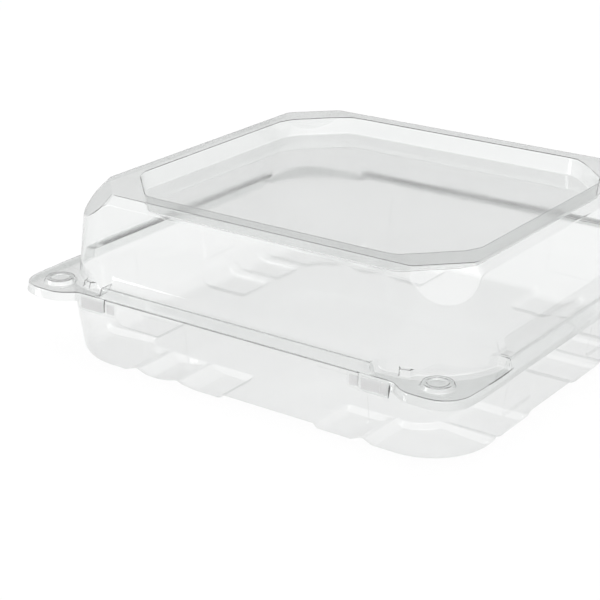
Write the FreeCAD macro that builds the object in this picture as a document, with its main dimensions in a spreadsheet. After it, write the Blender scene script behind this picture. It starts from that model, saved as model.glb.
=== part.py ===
import FreeCAD, Part
import os
from FreeCAD import Placement, Rotation, Vector

# A clear hinged food pack, thermoformed from one sheet of plastic: a tray and its lid.
# Millimetres. X runs along the opening side, which faces -Y, and the fold is on the +Y side,
# as far from the middle as the ears reach. +Z is up, and the origin is the middle of the
# pack on the plane that the feet rest on.

os.makedirs("parts", exist_ok=True)
doc = FreeCAD.newDocument("clamshell_pack")

# Driving sizes. Each one is set by itself.
SIZES = [
    ("sheet_wall", 0.5, "thickness of the formed sheet"),
    ("nest_gap", 0.3, "room between the lid's sheet and the tray's sheet"),
    ("part_height", 37.6, "height of the fold line above the table"),
    ("lid_height", 40.8, "ridge top above the fold line"),
    ("ridge_half_x", 95.0, "half length of the flat ridge ring, outer edge"),
    ("ridge_half_y", 87.1, "half width of the flat ridge ring, outer edge"),
    ("ridge_corner", 19.0, "leg of the ring's outer corner cut"),
    ("ridge_width", 8.0, "width of the flat ridge top"),
    ("panel_corner", 23.0, "leg of the sunk panel's corner cut"),
    ("panel_depth", 7.9, "depth of the sunk panel below the ridge"),
    ("panel_lean", 0.11, "run inwards for each step down the panel's rim"),
    ("bevel_drop", 3.8, "height of the bevel round the ridge"),
    ("bevel_out", 3.3, "how far the bevel stands out"),
    ("lid_draft", 13.0, "draft of the lid's sides in degrees"),
    ("facet_slope", 1.0, "corner facets: run outwards for each step down"),
    ("lid_corner", 14.0, "corner radius of the lid's sides at the ridge"),
    ("lid_corner_growth", 0.52, "growth of that radius for each step down"),
    ("bead_rise", 4.7, "closing bead above the fold line"),
    ("bead_half_y", 104.4, "half width of the bead's top"),
    ("bead_corner", 24.0, "corner radius of the bead's outline"),
    ("bead_end_x", 70.0, "where the front and back beads stop"),
    ("bead_end_y", 70.0, "where the side beads stop"),
    ("rim_half_x", 113.4, "half length over the side rims"),
    ("rim_front", 106.8, "front rim between the ears"),
    ("rim_back", 108.4, "back rim outside the fold"),
    ("rim_drop", 3.3, "side rims and ears below the fold line"),
    ("rim_lean", 0.25, "run outwards for each step down the bead and the rims"),
    ("rim_corner", 16.0, "corner radius of the rim"),
    ("side_rim_end", 72.0, "where the deep side rims stop before the fold"),
    ("side_rim_corner", 2.0, "corner radius at the ends of the side rims"),
    ("tray_rim_extra", 0.8, "how far the tray's rim shows below the lid's"),
    ("ear_front", 113.2, "front edge of the corner ears"),
    ("ear_end", 79.0, "inner end of the ears"),
    ("ear_depth", 52.0, "length of the ears along the sides"),
    ("ear_corner", 13.0, "corner radius of the ears"),
    ("button_x", 97.5, "snap buttons from the middle, along the front"),
    ("button_y", 100.0, "snap buttons from the middle, towards the front"),
    ("button_dia", 14.0, "foot diameter of a snap button"),
    ("button_rise", 1.8, "height of a snap button"),
    ("button_taper", 0.7, "how far a button's side leans in"),
    ("button_dish_dia", 8.0, "dish in the top of a button"),
    ("button_dish", 0.7, "depth of that dish"),
    ("lug_x", 81.5, "front stacking lugs from the middle"),
    ("lug_y", 64.5, "side stacking lugs from the middle"),
    ("lug_width", 5.0, "width of a stacking lug"),
    ("lug_reach", 2.6, "how far a lug stands off the lid's side"),
    ("lug_rise", 2.6, "height of a lug above the shelf"),
    ("fold_half", 75.0, "half length of the fold"),
    ("tab_inner", 65.5, "inner end of the lid's grip tabs"),
    ("tray_tab_inner", 59.5, "inner end of the tray's grip tabs"),
    ("tab_drop", 7.2, "grip tabs below the fold line"),
    ("tab_corner", 3.0, "corner radius of the grip tabs"),
    ("tray_half_x", 104.0, "half length of the tray at the table"),
    ("tray_half_y", 96.1, "half width of the tray at the table"),
    ("tray_draft", 7.6, "draft of the tray's sides in degrees"),
    ("tray_corner", 29.0, "corner radius of the tray at the table"),
    ("tray_edge", 12.0, "radius of the tray's bottom edge"),
    ("foot_rise", 2.5, "height of the feet under the raised runs"),
    ("run_x_low", -14.0, "raised run under the front and back, left end"),
    ("run_x_high", 37.0, "raised run under the front and back, right end"),
    ("run_y_low", -36.0, "raised run under the sides, front end"),
    ("run_y_high", 8.0, "raised run under the sides, back end"),
    ("flute_depth", 1.0, "depth of the flutes pressed into the sides"),
    ("flute_width", 24.0, "width of a flute"),
    ("flute_x_left", -51.0, "front and back flute on the left, its left end"),
    ("flute_x_right", 41.0, "front and back flute on the right, its left end"),
    ("flute_y_front", -62.0, "side flute at the front, its front end"),
    ("flute_y_back", 12.0, "side flute at the back, its front end"),
    ("flute_low", 9.0, "lower end of the flutes"),
    ("flute_high", 33.0, "upper end of the flutes"),
    ("notch_radius", 4.0, "radius of the notches between the feet"),
    ("notch_pitch_x", 23.0, "length of one foot, front and back"),
    ("notch_pitch_y", 25.0, "length of one foot, sides"),
    ("foot_width", 26.0, "width of the ring of feet round the raised middle"),
]
sheet = doc.addObject("Spreadsheet::Sheet", "sizes")
for row, (alias, value, meaning) in enumerate(SIZES, start=1):
    sheet.set("A%d" % row, alias)
    sheet.set("B%d" % row, str(value))
    sheet.set("C%d" % row, meaning)
    sheet.setAlias("B%d" % row, alias)
doc.recompute()

# Heights and widths that follow from the driving sizes.
TOP = "(sizes.part_height + sizes.lid_height)"
LID_PLATE = "(sizes.part_height + sizes.nest_gap / 2)"
TRAY_PLATE = "(sizes.part_height - sizes.nest_gap / 2 - sizes.sheet_wall)"
WALL = "sizes.sheet_wall"
NEST = "(sizes.sheet_wall + sizes.nest_gap)"
INSIDE_NEST = "(2 * sizes.sheet_wall + sizes.nest_gap)"
BEAD_TOP = "(sizes.part_height + sizes.bead_rise)"
RIM_FOOT = "(sizes.part_height - sizes.rim_drop)"
SHELF = "(%s + sizes.sheet_wall)" % LID_PLATE
FOLD = "(sizes.ear_front + sizes.nest_gap / 4)"
BELOW = "(sizes.part_height / 2)"


def bind(item, prop, rule):
    item.setExpression(prop, rule)


def value_of(rule):
    """The number that a rule on the sheet gives now."""
    return float(sheet.evalExpression(rule))


def frustum(name, low, high, foot, top, turned=0):
    """Flat sided form between two heights. Its foot and its top are four limits each:
    left, right, front and back. Turned is its turn about the upright axis in degrees."""
    form = doc.addObject("Part::Wedge", name)
    upright = Rotation(Vector(1, 0, 0), 90)
    form.Placement = Placement(Vector(0, 0, 0), Rotation(Vector(0, 0, 1), turned) * upright)
    bind(form, "Ymin", "0")
    bind(form, "Ymax", "(%s) - (%s)" % (high, low))
    for props, limits in ((("Xmin", "Xmax", "Zmax", "Zmin"), foot), (("X2min", "X2max", "Z2max", "Z2min"), top)):
        for prop, rule in zip(props, limits):
            bind(form, prop, rule if prop[0] == "X" else "-(%s)" % rule)
    bind(form, "Placement.Base.z", low)
    return form


def centred(half_x, half_y):
    """Four limits set evenly about the middle."""
    return ("-(%s)" % half_x, half_x, "-(%s)" % half_y, half_y)


def rounded(name, form, foot_radius, top_radius):
    """The same form with its four upright edges rounded."""
    doc.recompute()
    at_foot = value_of(foot_radius)
    at_top = value_of(top_radius)
    picked = []
    for number, edge in enumerate(form.Shape.Edges, start=1):
        start = edge.valueAt(edge.FirstParameter).z
        end = edge.valueAt(edge.LastParameter).z
        if abs(end - start) > 1e-6:
            picked.append((number, at_foot, at_top) if start < end else (number, at_top, at_foot))
    smooth = doc.addObject("Part::Fillet", name)
    smooth.Base = form
    smooth.Edges = picked
    return smooth


def block(name, x_low, x_high, y_low, y_high, z_low, z_high):
    box = doc.addObject("Part::Box", name)
    bind(box, "Length", "(%s) - (%s)" % (x_high, x_low))
    bind(box, "Width", "(%s) - (%s)" % (y_high, y_low))
    bind(box, "Height", "(%s) - (%s)" % (z_high, z_low))
    bind(box, "Placement.Base.x", x_low)
    bind(box, "Placement.Base.y", y_low)
    bind(box, "Placement.Base.z", z_low)
    return box


def fuse(name, shapes):
    joined = doc.addObject("Part::MultiFuse", name)
    joined.Shapes = shapes
    return joined


def common(name, shapes):
    kept = doc.addObject("Part::MultiCommon", name)
    kept.Shapes = shapes
    return kept


def cut(name, base, tool):
    rest = doc.addObject("Part::Cut", name)
    rest.Base = base
    rest.Tool = tool
    return rest


# Lid: a drafted dome with a bevelled ridge ring, flat corner facets and a sunk top panel.
# Its outside and its inside are the same form, the inside set in by the sheet.

def dome_side(drop, inset, half):
    """Half size of the lid's drafted sides, some way below the ridge."""
    lean = "(sizes.bevel_out + (%s - sizes.bevel_drop) * tan(sizes.lid_draft))" % drop
    return "(%s + %s - %s)" % (half, lean, inset)


def bevel_side(drop, inset, half):
    """Half size over the bevel's planes, some way below the ridge."""
    run = "(sizes.bevel_out / sizes.bevel_drop)"
    return "(%s + %s * %s - %s * sqrt(1 + %s ^ 2))" % (half, run, drop, inset, run)


def facet_side(drop, inset):
    """Half size over the corner facets, square to them, some way below the ridge."""
    ring = "((sizes.ridge_half_x + sizes.ridge_half_y - sizes.ridge_corner) / sqrt(2))"
    run = "sizes.facet_slope"
    return "(%s + %s * %s - %s * sqrt(1 + %s ^ 2))" % (ring, run, drop, inset, run)


def panel_side(drop, inset, half):
    """Half size of the sunk panel, some way below the ridge."""
    return "(%s - sizes.ridge_width - sizes.panel_lean * %s + %s)" % (half, drop, inset)


def panel_corner(drop, inset):
    """Half size over the sunk panel's corner cuts, square to them."""
    both = "%s + %s" % (panel_side(drop, inset, HALF_X), panel_side(drop, inset, HALF_Y))
    return "((%s - sizes.panel_corner) / sqrt(2))" % both


HALF_X = "sizes.ridge_half_x"
HALF_Y = "sizes.ridge_half_y"


def dome(name, inset, foot):
    """The lid above its plate, as one closed form set in by a distance."""
    drop = "(%s - %s)" % (TOP, foot)
    top = "(%s - %s)" % (TOP, inset)
    sides = frustum(name + "_block", foot, top,
                    centred(dome_side(drop, inset, HALF_X), dome_side(drop, inset, HALF_Y)),
                    centred(dome_side(inset, inset, HALF_X), dome_side(inset, inset, HALF_Y)))
    radius = "(sizes.lid_corner + sizes.lid_corner_growth * %s - %s)"
    bevels = frustum(name + "_bevels", foot, top,
                     centred(bevel_side(drop, inset, HALF_X), bevel_side(drop, inset, HALF_Y)),
                     centred(bevel_side(inset, inset, HALF_X), bevel_side(inset, inset, HALF_Y)))
    facets = frustum(name + "_facets", foot, top,
                     centred(facet_side(drop, inset), facet_side(drop, inset)),
                     centred(facet_side(inset, inset), facet_side(inset, inset)), 45)
    smooth = rounded(name + "_sides", sides, radius % (drop, inset), radius % (inset, inset))
    shaped = common(name + "_shaped", [smooth, bevels, facets])
    depth = "(sizes.panel_depth + %s)" % inset
    above = "(-sizes.panel_depth)"
    floor = "(%s - %s)" % (TOP, depth)
    over = "(%s + sizes.panel_depth)" % TOP
    recess = common(name + "_panel", [
        frustum(name + "_panel_block", floor, over,
                centred(panel_side(depth, inset, HALF_X), panel_side(depth, inset, HALF_Y)),
                centred(panel_side(above, inset, HALF_X), panel_side(above, inset, HALF_Y))),
        frustum(name + "_panel_corners", floor, over,
                centred(panel_corner(depth, inset), panel_corner(depth, inset)),
                centred(panel_corner(above, inset), panel_corner(above, inset)), 45),
    ])
    return cut(name, shaped, recess)


# Closing bead, rim, ears and snap buttons. The lid's lie over the tray's with room between,
# so each is made four times: the two faces of the lid's sheet and the two of the tray's.

def bead(name, inset, foot):
    """Straight raised beads on the four sides, which stop before the corners."""
    top = "(%s - %s)" % (BEAD_TOP, inset)
    limits = []
    for height in (foot, top):
        half_x = "(sizes.rim_half_x + sizes.rim_lean * (%s - %s) - %s)" % (RIM_FOOT, height, inset)
        half_y = "(sizes.bead_half_y + sizes.rim_lean * (%s - %s) - %s)" % (BEAD_TOP, height, inset)
        limits.append(centred(half_x, half_y))
    radius = "(sizes.bead_corner - %s)" % inset
    ring = rounded(name + "_ring", frustum(name + "_block", foot, top, *limits), radius, radius)
    end_x = "(sizes.bead_end_x - %s)" % inset
    end_y = "(sizes.bead_end_y - %s)" % inset
    far = "(2 * sizes.rim_half_x)"
    spans = fuse(name + "_spans", [
        block(name + "_front_back", "-" + end_x, end_x, "-" + far, far, foot, TOP),
        block(name + "_sides", "-" + far, far, "-" + end_y, end_y, foot, TOP),
    ])
    return common(name, [ring, spans])


def rim_form(name, inset, foot, shelf, span_x, span_y, corner):
    """A skirted block with a flat top, which widens on its way down."""
    limits = []
    for height in (foot, shelf):
        draw_in = "(sizes.rim_lean * (%s - %s) + %s)" % (height, RIM_FOOT, inset)
        limits.append([
            "(%s + %s)" % (span_x[0], draw_in), "(%s - %s)" % (span_x[1], draw_in),
            "(%s + %s)" % (span_y[0], draw_in), "(%s - %s)" % (span_y[1], draw_in),
        ])
    radius = "(%s - %s)" % (corner, inset)
    return rounded(name, frustum(name + "_block", foot, shelf, *limits), radius, radius)


def rims(name, inset, foot, shelf):
    """The two front ears and the deep side rims behind them."""
    outer = "sizes.rim_half_x"
    inner = "(sizes.rim_half_x - 2 * sizes.rim_corner)"
    ear_span_y = ("(-sizes.ear_front)", "(sizes.ear_depth - sizes.ear_front)")
    side_span_y = ("(-sizes.side_rim_end)", "sizes.side_rim_end")
    pieces = []
    for side in ("left", "right"):
        ear_span = ("(-%s)" % outer, "(-sizes.ear_end)") if side == "left" else ("sizes.ear_end", outer)
        side_span = ("(-%s)" % outer, "(-%s)" % inner) if side == "left" else (inner, outer)
        pieces.append(rim_form("%s_ear_%s" % (name, side), inset, foot, shelf,
                               ear_span, ear_span_y, "sizes.ear_corner"))
        pieces.append(rim_form("%s_side_%s" % (name, side), inset, foot, shelf,
                               side_span, side_span_y, "sizes.side_rim_corner"))
    return pieces


def button(name, centre, inset, shelf):
    """A round snap button with a dished top, standing on an ear."""
    side = doc.addObject("Part::Cone", name + "_side")
    bind(side, "Radius1", "sizes.button_dia / 2 - %s" % inset)
    bind(side, "Radius2", "sizes.button_dia / 2 - sizes.button_taper - %s" % inset)
    bind(side, "Height", "sizes.button_rise + 2 * sizes.sheet_wall")
    dish = doc.addObject("Part::Cylinder", name + "_dish")
    bind(dish, "Radius", "sizes.button_dish_dia / 2 + %s" % inset)
    bind(dish, "Height", "sizes.button_rise")
    side_level = "(%s - 2 * sizes.sheet_wall)" % shelf
    dish_level = "(%s + sizes.button_rise - sizes.button_dish)" % shelf
    for item, level in ((side, side_level), (dish, dish_level)):
        bind(item, "Placement.Base.x", centre)
        bind(item, "Placement.Base.y", "-sizes.button_y")
        bind(item, "Placement.Base.z", level)
    return cut(name, side, dish)


def buttons(name, inset, shelf):
    return [
        button("%s_left" % name, "-sizes.button_x", inset, shelf),
        button("%s_right" % name, "sizes.button_x", inset, shelf),
    ]


def plate(name, inset, level):
    """The flat flange round the pack, its wider back corners and the strip out to the fold."""
    above = "(%s + sizes.sheet_wall)" % level
    edge = "(sizes.rim_half_x - sizes.rim_lean * (sizes.rim_drop + sizes.bead_rise) - %s)" % inset
    limits = ("-" + edge, edge, "-(sizes.rim_front - %s)" % inset, "sizes.rim_back")
    flat = rounded(name + "_flat", frustum(name + "_flat_block", level, above, limits, limits),
                   "sizes.rim_corner", "sizes.rim_corner")
    wide = "(sizes.rim_half_x - %s)" % inset
    limits = ("-" + wide, wide, "(sizes.side_rim_end - sizes.side_rim_corner)", "sizes.rim_back")
    corners = rounded(name + "_corners", frustum(name + "_corner_block", level, above, limits, limits),
                      "sizes.rim_corner", "sizes.rim_corner")
    strip = block(name + "_fold_strip", "-sizes.fold_half", "sizes.fold_half", "0",
                  "(%s - sizes.nest_gap / 4)" % FOLD, level, above)
    return fuse(name, [flat, corners, strip])


def under_plate(name, inset, level):
    """The open space under the flat flange."""
    edge = "(sizes.rim_half_x - 2 * sizes.rim_lean * sizes.rim_drop - %s)" % inset
    return block(name, "-" + edge, edge, "-(sizes.rim_front - %s)" % inset, "sizes.rim_back", BELOW, level)


def grip_tabs(name, inner, inset, top):
    """Flat tabs that hang from the front rim beside the ears, inner lower corner rounded."""
    foot = "(sizes.part_height - sizes.tab_drop)"
    front = "(-sizes.rim_front + %s)" % inset
    outer = "(sizes.ear_end + %s + sizes.sheet_wall)" % inset
    pieces = []
    for side, span in (("left", ("-" + outer, "-" + inner)), ("right", (inner, outer))):
        tab = block("%s_%s_block" % (name, side), *span, front, "(%s + sizes.sheet_wall)" % front, foot, top)
        doc.recompute()
        corner = Vector(value_of(span[1] if side == "left" else span[0]), 0, value_of(foot))
        radius = value_of("sizes.tab_corner")
        smooth = doc.addObject("Part::Fillet", "%s_%s" % (name, side))
        smooth.Base = tab
        smooth.Edges = [
            (number, radius, radius)
            for number, edge in enumerate(tab.Shape.Edges, start=1)
            if all(abs(end.X - corner.x) + abs(end.Z - corner.z) < 1e-6 for end in edge.Vertexes)
        ]
        pieces.append(smooth)
    return pieces


def lugs(name, inset, low):
    """Small stacking lugs where the lid's sides meet the ears' shelves."""
    drop = "(%s - %s)" % (TOP, SHELF)
    top = "(%s + sizes.lug_rise - %s)" % (SHELF, inset)
    half = "(sizes.lug_width / 2 - %s)" % inset
    spans = []
    for side in (dome_side(drop, "0", HALF_X), dome_side(drop, "0", HALF_Y)):
        spans.append(("(%s - sizes.lid_corner / 2)" % side, "(%s + sizes.lug_reach / 2 - %s)" % (side, inset)))
    (x_near, x_far), (y_near, y_far) = spans
    pieces = []
    for sign, side in (("-", "left"), ("", "right")):
        centre = "%ssizes.lug_x" % sign
        pieces.append(block("%s_front_%s" % (name, side), "%s - %s" % (centre, half), "%s + %s" % (centre, half),
                            "-" + y_far, "-" + y_near, low, top))
        reach = ("-" + x_far, "-" + x_near) if side == "left" else (x_near, x_far)
        pieces.append(block("%s_side_%s" % (name, side), *reach,
                            "-sizes.lug_y - %s" % half, "-sizes.lug_y + %s" % half, low, top))
    return pieces


lid_outside = fuse("lid_outside", [
    dome("dome_outside", "0", LID_PLATE),
    bead("lid_bead_outside", "0", LID_PLATE),
    plate("lid_plate", "0", LID_PLATE),
    *rims("lid_rim_outside", "0", RIM_FOOT, SHELF),
    *buttons("lid_button_outside", "0", SHELF),
    *lugs("lid_lug_outside", "0", LID_PLATE),
    *grip_tabs("lid_tab", "sizes.tab_inner", "0", SHELF),
])
lid_inside = fuse("lid_inside", [
    dome("dome_inside", WALL, BELOW),
    bead("lid_bead_inside", WALL, LID_PLATE),
    *rims("lid_rim_inside", WALL, BELOW, LID_PLATE),
    *buttons("lid_button_inside", WALL, LID_PLATE),
    *lugs("lid_lug_inside", WALL, BELOW),
    under_plate("lid_under_plate", WALL, LID_PLATE),
])
lid = cut("lid", lid_outside, lid_inside)
lid.Label = "lid"


# Tray: drafted fluted sides with a rounded bottom edge. It stands on a ring of notched feet,
# with raised runs between the feet and a raised middle.

def tray_form(name, inset, high):
    """The tray's sides and bottom as one closed form set in by a distance."""
    wide = "(sizes.tray_half_%s + %s * tan(sizes.tray_draft) - %s)"
    straight = "(sizes.tray_half_%s - sizes.tray_corner)"
    low = inset
    pieces = []
    for way, wide_axis in (("across", "x"), ("along", "y")):
        limits = []
        for height in (low, high):
            half = {
                axis: wide % (axis, height, inset) if axis == wide_axis else straight % axis
                for axis in ("x", "y")
            }
            limits.append(centred(half["x"], half["y"]))
        pieces.append(frustum("%s_%s" % (name, way), low, high, *limits))
    radius = "(sizes.tray_corner + %s * tan(sizes.tray_draft) - %s)"
    for side, sign_x in (("left", "-"), ("right", "")):
        for end, sign_y in (("front", "-"), ("back", "")):
            corner = doc.addObject("Part::Cone", "%s_%s_%s" % (name, end, side))
            bind(corner, "Radius1", radius % (low, inset))
            bind(corner, "Radius2", radius % (high, inset))
            bind(corner, "Height", "%s - %s" % (high, low))
            bind(corner, "Placement.Base.x", sign_x + straight % "x")
            bind(corner, "Placement.Base.y", sign_y + straight % "y")
            bind(corner, "Placement.Base.z", low)
            pieces.append(corner)
    sharp = fuse(name + "_sharp", pieces)
    sharp.Refine = True
    doc.recompute()
    lowest = value_of(low)
    edge_radius = value_of("sizes.tray_edge - %s" % inset)
    smooth = doc.addObject("Part::Fillet", name)
    smooth.Base = sharp
    smooth.Edges = [
        (number, edge_radius, edge_radius)
        for number, edge in enumerate(sharp.Shape.Edges, start=1)
        if edge.BoundBox.ZMax - lowest < 1e-6
    ]
    return smooth


def run_spans(grown):
    """The raised runs: across from front to back, and across from side to side."""
    run_x = ("(sizes.run_x_low - %s)" % grown, "(sizes.run_x_high + %s)" % grown)
    run_y = ("(sizes.run_y_low - %s)" % grown, "(sizes.run_y_high + %s)" % grown)
    return run_x, run_y


def flutes(name, grown):
    """Blocks over the stretches of wall beside each raised run, where the flutes are."""
    far = "(2 * sizes.rim_half_x)"
    low = "(sizes.flute_low - %s)" % grown
    high = "(sizes.flute_high + %s)" % grown
    pieces = []
    for axis, starts in (("x", ("left", "right")), ("y", ("front", "back"))):
        for place in starts:
            start = "sizes.flute_%s_%s" % (axis, place)
            span = ("(%s - %s)" % (start, grown), "(%s + sizes.flute_width + %s)" % (start, grown))
            across = ("-" + far, far)
            sides = (*span, *across) if axis == "x" else (*across, *span)
            pieces.append(block("%s_%s_%s" % (name, axis, place), *sides, low, high))
    return fuse(name, pieces)


def notches(name, grown):
    """Arched notches across the bottom edge between one foot and the next."""
    pieces = []
    for axis, turn in (("x", Rotation(Vector(1, 0, 0), 90)), ("y", Rotation(Vector(0, 1, 0), 90))):
        other = "y" if axis == "x" else "x"
        last = value_of("sizes.tray_half_%s - sizes.tray_corner" % axis)
        for end, step in (("low", -1), ("high", 1)):
            count = 1
            rule = "sizes.run_%s_%s + %d * sizes.notch_pitch_" + axis
            while abs(value_of(rule % (axis, end, step * count))) < last:
                for side in (-1, 1):
                    drill = doc.addObject("Part::Cylinder", "%s_%s_%s_%d_%d" % (name, axis, end, count, side + 1))
                    drill.Placement = Placement(Vector(0, 0, 0), turn)
                    bind(drill, "Radius", "sizes.notch_radius + %s" % grown)
                    bind(drill, "Height", "2 * sizes.foot_width + 2 * %s" % grown)
                    middle = "%d * sizes.tray_half_%s" % (side, other)
                    shift = "+" if axis == "x" else "-"
                    bind(drill, "Placement.Base.%s" % axis, rule % (axis, end, step * count))
                    bind(drill, "Placement.Base.%s" % other,
                         "%s %s (sizes.foot_width + %s)" % (middle, shift, grown))
                    bind(drill, "Placement.Base.z", "sizes.foot_rise - sizes.notch_radius")
                    pieces.append(drill)
                count += 1
    return pieces


def pressed_tray(name, inset, high):
    """The tray form with its flutes pressed in and its bottom raised between the feet."""
    plain = tray_form(name + "_plain", inset, high)
    deep = tray_form(name + "_deep", "(sizes.flute_depth + %s)" % inset, high)
    pressed = cut(name + "_pressed", flutes(name + "_flutes", inset), deep)
    far = "(2 * sizes.rim_half_x)"
    run_x, run_y = run_spans(inset)
    raised = "(sizes.foot_rise + %s)" % inset
    half_x = "(sizes.tray_half_x - sizes.foot_width + %s)" % inset
    half_y = "(sizes.tray_half_y - sizes.foot_width + %s)" % inset
    middle = frustum(name + "_middle_block", "-sizes.foot_rise", raised,
                     centred(half_x, half_y), centred(half_x, half_y))
    corner = "(sizes.tray_corner / 2 + %s)" % inset
    under = fuse(name + "_under", [
        rounded(name + "_middle", middle, corner, corner),
        block(name + "_run_x", *run_x, "-" + far, far, "-sizes.foot_rise", raised),
        block(name + "_run_y", "-" + far, far, *run_y, "-sizes.foot_rise", raised),
        *notches(name + "_notch", inset),
    ])
    return cut(name, cut(name + "_fluted", plain, pressed), under)


TRAY_SHELF = "(%s + sizes.sheet_wall)" % TRAY_PLATE
TRAY_BEAD_TOP = "(%s - %s)" % (BEAD_TOP, NEST)
TRAY_RIM_FOOT = "(%s - sizes.tray_rim_extra)" % RIM_FOOT
far = "(2 * sizes.rim_half_x)"
tray_bead = bead("tray_bead_outside", NEST, TRAY_PLATE)
tray_limits = fuse("tray_limits", [
    tray_bead,
    block("tray_below_shelf", "-" + far, far, "-" + far, far, "-sizes.foot_rise", TRAY_SHELF),
])
tray_outside = common("tray_outside", [pressed_tray("tray_body", "0", TRAY_BEAD_TOP), tray_limits])
tray_rim = cut("tray_rim", fuse("tray_rim_outside", [
    tray_bead,
    plate("tray_plate", NEST, TRAY_PLATE),
    *rims("tray_rims_outside", NEST, TRAY_RIM_FOOT, TRAY_SHELF),
    *buttons("tray_button_outside", NEST, TRAY_SHELF),
    *grip_tabs("tray_tab", "sizes.tray_tab_inner", NEST, TRAY_SHELF),
]), fuse("tray_rim_inside", [
    bead("tray_bead_inside", INSIDE_NEST, TRAY_PLATE),
    *rims("tray_rims_inside", INSIDE_NEST, BELOW, TRAY_PLATE),
    *buttons("tray_button_inside", INSIDE_NEST, TRAY_PLATE),
    under_plate("tray_under_plate", INSIDE_NEST, TRAY_PLATE),
]))
tray = cut("base_tray", fuse("tray_sheet", [tray_rim, tray_outside]),
           pressed_tray("tray_cavity", WALL, TOP))
tray.Label = "base_tray"

# Each half has to come out whole before anything is written.
doc.recompute()
for item in doc.Objects:
    if "Invalid" in item.State or "Error" in item.State:
        raise RuntimeError("%s did not build" % item.Label)
for piece in (tray, lid):
    if piece.Shape.isNull() or not piece.Shape.isValid() or len(piece.Shape.Solids) != 1:
        raise RuntimeError("%s is not one whole sheet" % piece.Label)
    piece.Shape.exportStep("parts/%s.step" % piece.Label)
    print(piece.Label, round(piece.Shape.Volume, 1), "cubic mm")
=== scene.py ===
import math

import bmesh
import bpy
import numpy as np
from mathutils import Matrix, Vector


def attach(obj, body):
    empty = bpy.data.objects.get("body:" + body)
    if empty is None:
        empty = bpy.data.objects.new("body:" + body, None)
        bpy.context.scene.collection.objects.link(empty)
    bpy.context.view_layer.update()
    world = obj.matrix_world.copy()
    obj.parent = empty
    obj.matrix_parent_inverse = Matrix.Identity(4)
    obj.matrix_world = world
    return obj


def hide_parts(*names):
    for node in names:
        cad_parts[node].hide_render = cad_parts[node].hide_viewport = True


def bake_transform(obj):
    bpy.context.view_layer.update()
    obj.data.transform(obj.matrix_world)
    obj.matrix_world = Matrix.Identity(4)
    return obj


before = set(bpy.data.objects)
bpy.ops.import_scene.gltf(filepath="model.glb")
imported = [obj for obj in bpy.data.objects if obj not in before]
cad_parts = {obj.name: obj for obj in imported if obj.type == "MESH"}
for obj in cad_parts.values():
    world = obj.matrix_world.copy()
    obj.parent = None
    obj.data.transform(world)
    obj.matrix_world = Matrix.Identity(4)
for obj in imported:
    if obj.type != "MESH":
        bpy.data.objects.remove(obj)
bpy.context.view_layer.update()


# The lid. The upper half of one sheet of clear polyester, drawn down into a mould: a drafted dome
# with a flat facet at each corner, a bevel, a flat ridge ring on which the next pack stands and
# a sunk panel. Its flange has a bead, two ears with snap buttons, rims and grip tabs.

def drawn_ripple_group():
    """Slow waves of the drawn sheet, as a normal, and its faint haze, as a roughness."""
    group = bpy.data.node_groups.new("drawn_ripple", "ShaderNodeTree")
    for label, low, high, start in (
            ("Wave Scale", 1.0, 400.0, 45.0), ("Wave Height", 0.0, 1.0, 0.1),
            ("Haze Low", 0.0, 1.0, 0.02), ("Haze High", 0.0, 1.0, 0.08)):
        socket = group.interface.new_socket(name=label, in_out="INPUT", socket_type="NodeSocketFloat")
        socket.min_value, socket.max_value, socket.default_value = low, high, start
    group.interface.new_socket(name="Normal", in_out="OUTPUT", socket_type="NodeSocketVector")
    group.interface.new_socket(name="Roughness", in_out="OUTPUT", socket_type="NodeSocketFloat")
    nodes, links = group.nodes, group.links
    inputs = nodes.new("NodeGroupInput")
    outputs = nodes.new("NodeGroupOutput")
    place = nodes.new("ShaderNodeTexCoord")
    waves = nodes.new("ShaderNodeTexNoise")
    waves.inputs["Detail"].default_value = 2.0
    waves.inputs["Roughness"].default_value = 0.45
    bump = nodes.new("ShaderNodeBump")
    bump.inputs["Distance"].default_value = 0.0006
    haze = nodes.new("ShaderNodeTexNoise")
    haze.inputs["Scale"].default_value = 25.0
    haze.inputs["Detail"].default_value = 3.0
    spread = nodes.new("ShaderNodeMapRange")
    spread.inputs["From Min"].default_value = 0.35
    spread.inputs["From Max"].default_value = 0.7
    links.new(place.outputs["Object"], waves.inputs["Vector"])
    links.new(place.outputs["Object"], haze.inputs["Vector"])
    links.new(inputs.outputs["Wave Scale"], waves.inputs["Scale"])
    links.new(waves.outputs["Fac"], bump.inputs["Height"])
    links.new(inputs.outputs["Wave Height"], bump.inputs["Strength"])
    links.new(haze.outputs["Fac"], spread.inputs["Value"])
    links.new(inputs.outputs["Haze Low"], spread.inputs["To Min"])
    links.new(inputs.outputs["Haze High"], spread.inputs["To Max"])
    links.new(bump.outputs["Normal"], outputs.inputs["Normal"])
    links.new(spread.outputs["Result"], outputs.inputs["Roughness"])
    return group


drawn_ripple = drawn_ripple_group()


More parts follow.
